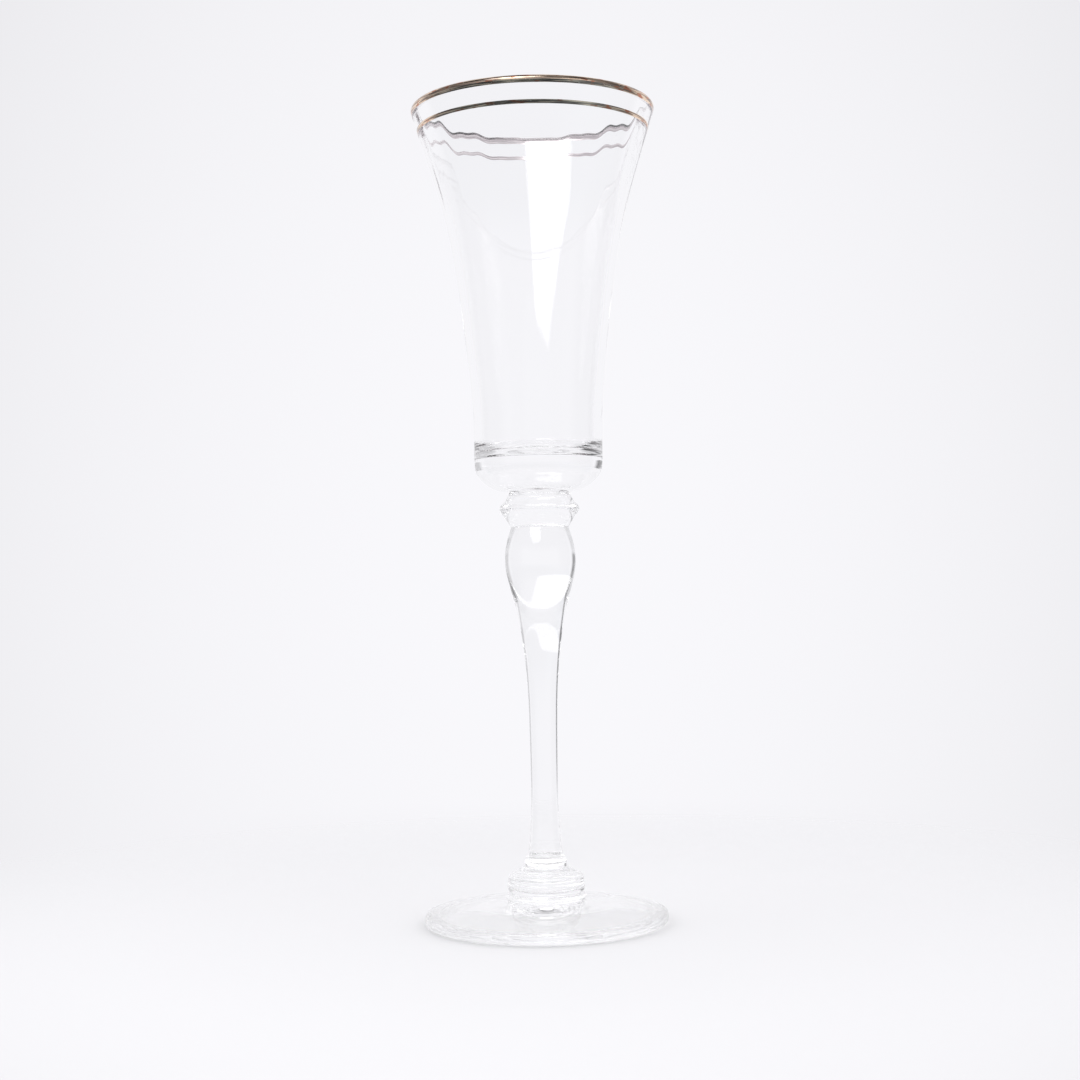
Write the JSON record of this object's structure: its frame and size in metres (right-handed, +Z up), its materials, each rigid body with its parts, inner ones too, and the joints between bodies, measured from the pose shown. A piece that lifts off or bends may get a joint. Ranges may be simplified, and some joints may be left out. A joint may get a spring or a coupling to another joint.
{
  "type": "champagne flute",
  "caption": "Clear trumpet-shaped champagne flute on an inverted baluster stem with a turned ring stack, round foot and two gold lines at the rim.",
  "frame": {"origin": "centre of the plane that the foot rests on", "axes": "+Z up along the glass's axis, from foot to rim"},
  "size_m": [0.0674, 0.0674, 0.225],
  "materials": {
    "clear_glass": "polished clear glass",
    "gold": "thin fired gold, slightly worn"
  },
  "bodies": {
    "root": {"foot": "clear_glass", "base_ring": "clear_glass", "stepped_ring": "clear_glass", "bead_ring": "clear_glass", "stem": "clear_glass", "collar": "clear_glass", "bowl": "clear_glass", "rim_gold_band": "gold", "gold_hairline": "gold"}
  },
  "joints": []
}
